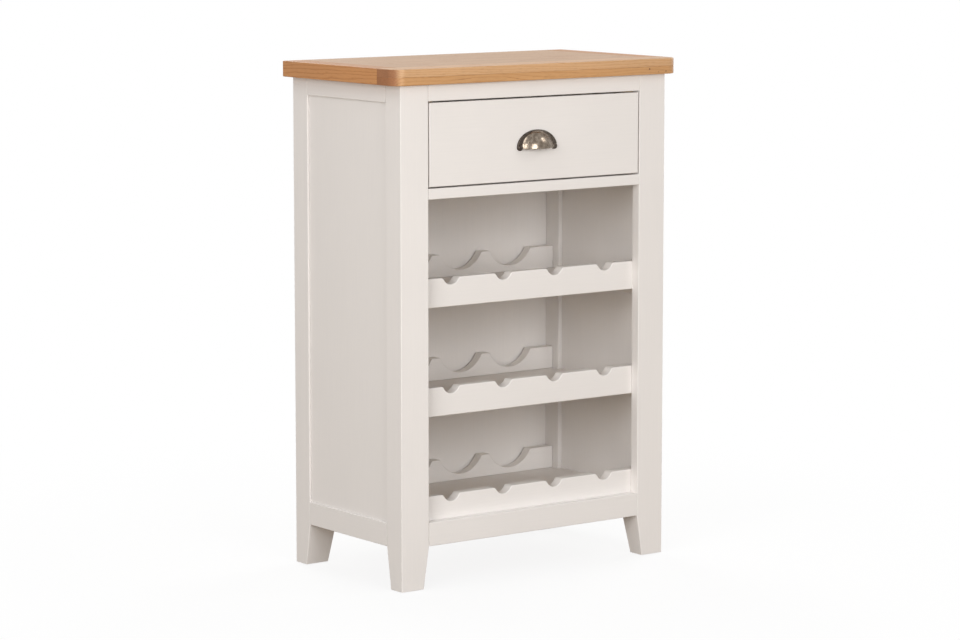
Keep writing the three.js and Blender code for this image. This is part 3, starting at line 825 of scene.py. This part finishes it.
# Drawer
# The front is painted like the frame. The sides, back and bottom are bare rubberwood: the sides
# are dovetailed into the front, housed round the back and grooved for the bottom.
face_zone = 1 * mm
front_low, front_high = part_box("drawer_front")
front = work_copy("drawer_front")
ease(front, soft_arris, lambda middle, direction: middle.y < front_low.y + face_zone)
ease(front, joint_arris, lambda middle, direction: middle.y > front_high.y - face_zone)
fit(front, paint_level, "painted_wood", "drawer", "drawer_front")
for node, grain, heart in (
    ("drawer_side_left", "y", (60, 0, -40)),
    ("drawer_side_right", "y", (-75, 0, 30)),
    ("drawer_back", "x", (0, 80, 35)),
    ("drawer_bottom", "x", (0, 40, -130)),
):
    bare_piece(node, grain, heart, "drawer")

# Cup pull
# A zinc casting plated as antique pewter: a flange with a lobe at each end, and a cup with two
# beads, open below. The flange is painted darker than the cup and beads: painted shade for the
# dark reflection on its face.


def pewter(name, dark, bright, dark_rough, bright_rough):
    """Antique pewter plating: dark tarnished blotches on rubbed metal, with fine scratches."""
    blotch_size = 5 * mm
    scratch_size, scratch_depth = 0.35 * mm, 0.01 * mm
    metal = bpy.data.materials.new(name)
    metal.use_nodes = True
    here = add(metal, "ShaderNodeTexCoord").outputs["Object"]
    blotches = add(
        metal,
        "ShaderNodeTexNoise",
        {"Vector": here, "Scale": 1 / blotch_size, "Detail": 5, "Roughness": 0.6},
    )
    worn = add(
        metal,
        "ShaderNodeMapRange",
        {"Value": blotches.outputs[0], "From Min": 0.35, "From Max": 0.62},
    )
    tone = add(
        metal,
        "ShaderNodeMix",
        {mix_share: worn.outputs[0], mix_from: colour(dark), mix_to: colour(bright)},
        data_type="RGBA",
    )
    rough = add(
        metal,
        "ShaderNodeMapRange",
        {"Value": worn.outputs[0], "To Min": dark_rough, "To Max": bright_rough},
    )
    scratches = add(
        metal, "ShaderNodeTexNoise", {"Vector": here, "Scale": 1 / scratch_size, "Detail": 2}
    )
    rubbed = add(
        metal, "ShaderNodeBump", {"Height": scratches.outputs[0], "Distance": scratch_depth}
    )
    surface = metal.node_tree.nodes["Principled BSDF"]
    surface.inputs["Metallic"].default_value = 1
    metal.node_tree.links.new(tone.outputs[mixed], surface.inputs["Base Color"])
    metal.node_tree.links.new(rough.outputs[0], surface.inputs["Roughness"])
    metal.node_tree.links.new(rubbed.outputs[0], surface.inputs["Normal"])
    return metal


def combine(form, operation, other):
    """Joins a solid to a form, or cuts it out of the form, and removes it."""
    only(form)
    bpy.ops.object.modifier_add(type="BOOLEAN")
    form.modifiers[-1].operation = operation
    form.modifiers[-1].object = other
    bpy.ops.object.modifier_apply(modifier=form.modifiers[-1].name)
    only(other)
    bpy.ops.object.delete()


def keep_side(form, point, normal, fill):
    """Cuts a form with a plane and keeps what the normal points to."""
    only(form)
    bpy.ops.object.mode_set(mode="EDIT")
    bpy.ops.mesh.select_all(action="SELECT")
    bpy.ops.mesh.bisect(plane_co=point, plane_no=normal, use_fill=fill, clear_inner=True)
    bpy.ops.object.mode_set(mode="OBJECT")


def dress(form, material):
    """Gives one form of the casting its material."""
    form.data.materials.clear()
    form.data.materials.append(material)


# The flange's darker pewter is painted shade for the dark reflection on its face; the cup and
# beads get the lighter one.
flange_painted_dark = pewter("pewter_flange_painted_dark", "#3A322D", "#5E554D", 0.45, 0.32)
cup_painted_lighter = pewter("pewter_cup_painted_lighter", "#695D51", "#93877A", 0.26, 0.16)
pull_low, pull_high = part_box("cup_pull")
pull_back = pull_high.y
lobe_radius = 5.2 * mm
lobe_boss = 5 * mm
lobe_round = 2.2 * mm
lobe_z = pull_low.z + lobe_radius
flange_half = pull_high.x
flange_height = pull_high.z - lobe_z
flange_thickness = 3 * mm
flange_front = pull_back - flange_thickness
flange_round = 1.1 * mm
cup_half = 32.8 * mm
cup_height = 30.2 * mm
cup_wall = 2 * mm
cup_lip_lift = 2.8 * mm
cup_lip_round = 0.6 * mm
lip_z = pull_low.z + cup_lip_lift
egg_cut_share = 0.5  # of the egg's depth, from its middle to where the flange's face cuts it
egg_depth = (flange_front - pull_low.y) / (1 - egg_cut_share)
egg_spread = math.sqrt(1 - egg_cut_share**2)
egg_middle = (0, pull_low.y + egg_depth, lip_z)


def egg(wall):
    """The egg shape that the cup is part of, wall inside the cup's outer face."""
    bpy.ops.object.select_all(action="DESELECT")
    bpy.ops.mesh.primitive_uv_sphere_add(
        segments=128, ring_count=64, radius=1, location=egg_middle
    )
    shape = bpy.context.object
    shape.scale = (
        cup_half / egg_spread - wall,
        egg_depth - wall,
        cup_height / egg_spread - wall,
    )
    bpy.ops.object.transform_apply(location=True, rotation=True, scale=True)
    return shape


def on_flange_rim(middle, direction):
    """True for an edge round the flange's face, above its lobes."""
    return middle.y < flange_front + touch and middle.z > lobe_z + touch


bpy.ops.object.select_all(action="DESELECT")
bpy.ops.mesh.primitive_cylinder_add(
    vertices=160,
    radius=flange_half,
    depth=flange_thickness,
    location=(0, pull_back - flange_thickness / 2, lobe_z),
    rotation=(math.pi / 2, 0, 0),
)
flange = bpy.context.object
flange.scale.y = flange_height / flange_half
bpy.ops.object.transform_apply(location=True, rotation=True, scale=True)
keep_side(flange, (0, 0, lobe_z), (0, 0, 1), True)
ease(flange, flange_round, on_flange_rim)
for x in (lobe_radius - flange_half, flange_half - lobe_radius):
    bpy.ops.object.select_all(action="DESELECT")
    bpy.ops.mesh.primitive_cylinder_add(
        vertices=48,
        radius=lobe_radius,
        depth=lobe_boss,
        location=(x, pull_back - lobe_boss / 2, lobe_z),
        rotation=(math.pi / 2, 0, 0),
    )
    lobe = bpy.context.object
    bpy.ops.object.transform_apply(location=True, rotation=True, scale=True)
    ease(lobe, lobe_round, lambda middle, direction: middle.y < flange_front)
    combine(flange, "UNION", lobe)
combine(flange, "DIFFERENCE", egg(cup_wall / 2))
dress(flange, flange_painted_dark)

cup = egg(0)
keep_side(cup, (0, 0, lip_z), (0, 0, 1), False)
keep_side(cup, (0, pull_back, 0), (0, -1, 0), False)
bpy.ops.object.modifier_add(type="SOLIDIFY")
cup.modifiers[-1].thickness = cup_wall
cup.modifiers[-1].offset = -1
bpy.ops.object.modifier_apply(modifier=cup.modifiers[-1].name)
ease(cup, cup_lip_round, lambda middle, direction: middle.z < lip_z + touch)
dress(cup, cup_painted_lighter)

beads = []
for half_share, bead_radius in ((0.94, 0.6 * mm), (0.84, 0.45 * mm)):
    rise = egg_depth * (math.sqrt(1 - (half_share * egg_spread) ** 2) - egg_cut_share)
    bpy.ops.object.select_all(action="DESELECT")
    bpy.ops.mesh.primitive_torus_add(
        major_radius=half_share * cup_half,
        minor_radius=bead_radius,
        major_segments=160,
        minor_segments=12,
        location=(0, flange_front - rise, lip_z),
        rotation=(math.pi / 2, 0, 0),
    )
    bead = bpy.context.object
    bead.scale.y = cup_height / cup_half
    bpy.ops.object.transform_apply(location=True, rotation=True, scale=True)
    keep_side(bead, (0, 0, lip_z), (0, 0, 1), True)
    dress(bead, cup_painted_lighter)
    beads.append(bead)

bpy.ops.object.select_all(action="DESELECT")
for form in (*beads, cup, flange):
    form.select_set(True)
bpy.context.view_layer.objects.active = flange
bpy.ops.object.join()
flange.name = "cup_pull_cast"
finish_shading(flange)
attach(flange, "drawer")
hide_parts("cup_pull")

# Pull screws
# Two zinc plated pan head screws, driven from inside the drawer through its front and into the
# flange's lobes. Their heads have the same cross recess.
pan_arris = 0.5 * mm
pan_height = 3 * mm
pan_cross_depth = 2.4 * mm
for side in ("left", "right"):
    node = f"pull_screw_{side}"
    screw = work_copy(node)
    low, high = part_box(node)
    span = (high.x - low.x) / 2 * cross_span_share
    ease(screw, pan_arris, lambda middle, direction: middle.y > high.y - pan_height)
    recess_place = (middle_of(node).x, high.y, middle_of(node).z)
    cross_recess(screw, recess_place, "y", span, cross_width, pan_cross_depth)
    fit(screw, zinc, "screw_steel", "drawer", node)

# Studio
# A plain white floor that fades into a white background, six soft lights all round, and the
# camera at the photograph's angle.
floor_width = 80
fade_start = 0.4
fade_end = 1.5
near_glow = 0.87
room_strength = 0.24
bpy.ops.object.select_all(action="DESELECT")
bpy.ops.mesh.primitive_plane_add(size=floor_width, location=(0, 0, 0))
floor = bpy.context.object
floor.name = "studio_floor"


def seen_rays(owner):
    """1 for rays that show a surface as it is: from the camera, reflected or through glass."""
    ray = add(owner, "ShaderNodeLightPath")
    seen = add(
        owner,
        "ShaderNodeMath",
        {0: ray.outputs["Is Camera Ray"], 1: ray.outputs["Is Glossy Ray"]},
        operation="MAXIMUM",
    )
    return add(
        owner,
        "ShaderNodeMath",
        {0: seen.outputs[0], 1: ray.outputs["Is Transmission Ray"]},
        operation="MAXIMUM",
    ).outputs[0]


# The camera sees matt white paper that turns to glowing white further out. The light that the
# floor throws back on the cabinet is that of a warm grey.
sweep = bpy.data.materials.new("white_floor")
sweep.use_nodes = True
sweep_here = add(sweep, "ShaderNodeTexCoord")
sweep_distance = add(
    sweep, "ShaderNodeVectorMath", {0: sweep_here.outputs["Object"]}, operation="LENGTH"
)
sweep_fade = add(
    sweep,
    "ShaderNodeMapRange",
    {
        "Value": sweep_distance.outputs["Value"],
        "From Min": fade_start,
        "From Max": fade_end,
        "To Min": near_glow,
    },
    interpolation_type="SMOOTHSTEP",
)
sweep_seen = seen_rays(sweep)
sweep_share = add(
    sweep, "ShaderNodeMath", {0: sweep_seen, 1: sweep_fade.outputs[0]}, operation="MULTIPLY"
)
sweep_tone = add(
    sweep,
    "ShaderNodeMix",
    {mix_share: sweep_seen, mix_from: colour("#9C8D7B"), mix_to: colour("#FAFAFA")},
    data_type="RGBA",
)
sweep_matt = add(sweep, "ShaderNodeBsdfDiffuse", {"Color": sweep_tone.outputs[mixed]})
sweep_glow = add(sweep, "ShaderNodeEmission", {"Color": (1, 1, 1, 1), "Strength": 1})
sweep_blend = add(
    sweep,
    "ShaderNodeMixShader",
    {0: sweep_share.outputs[0], 1: sweep_matt.outputs[0], 2: sweep_glow.outputs[0]},
)
sweep_output = sweep.node_tree.nodes["Material Output"]
sweep.node_tree.links.new(sweep_blend.outputs[0], sweep_output.inputs["Surface"])
floor.data.materials.append(sweep)

# The background looks white, and lights the cabinet as a dim room does.
world = bpy.data.worlds.new("white_studio")
world.use_nodes = True
bpy.context.scene.world = world
room = add(
    world, "ShaderNodeBackground", {"Color": colour("#FFFCF8"), "Strength": room_strength}
)
white = add(world, "ShaderNodeBackground", {"Color": (1, 1, 1, 1), "Strength": 1})
blend = add(
    world, "ShaderNodeMixShader", {0: seen_rays(world), 1: room.outputs[0], 2: white.outputs[0]}
)
world_output = world.node_tree.nodes["World Output"]
world.node_tree.links.new(blend.outputs[0], world_output.inputs["Surface"])

# Each lamp's place and width in metres, and its power in watts.
object_middle = Vector((0, 0, 0.44))
for name, place, width, power in (
    ("front_softbox", (-0.6, -4.01, 1.33), 1.6, 66),
    ("side_softbox", (-3.46, -2.15, 1.46), 2, 76),
    ("left_softbox", (-2.28, -0.4, 3.2), 1.8, 24),
    ("high_softbox", (2.66, -2.14, 2.8), 1.1, 18),
    ("right_softbox", (3.81, 1.02, 1.88), 2, 78),
    ("back_softbox", (0.55, 3.91, 1.88), 2, 78),
):
    bpy.ops.object.light_add(type="AREA", location=place)
    lamp = bpy.context.object
    lamp.name = name
    lamp.data.shape = "SQUARE"
    lamp.data.size = width
    lamp.data.energy = power
    lamp.rotation_euler = (object_middle - lamp.location).to_track_quat("-Z", "Y").to_euler()

camera_place = (-3.4205, -4.5852, 1.1968)
camera_turn = math.radians(36.66)
camera_dip = math.radians(7.73)
lens_mm = 125.1
sensor_mm = 36
bpy.ops.object.camera_add(
    location=camera_place, rotation=(math.pi / 2 - camera_dip, 0, -camera_turn)
)
camera = bpy.context.object
camera.data.lens = lens_mm
camera.data.sensor_width = sensor_mm
bpy.context.scene.camera = camera
bpy.context.scene.view_settings.view_transform = "Standard"
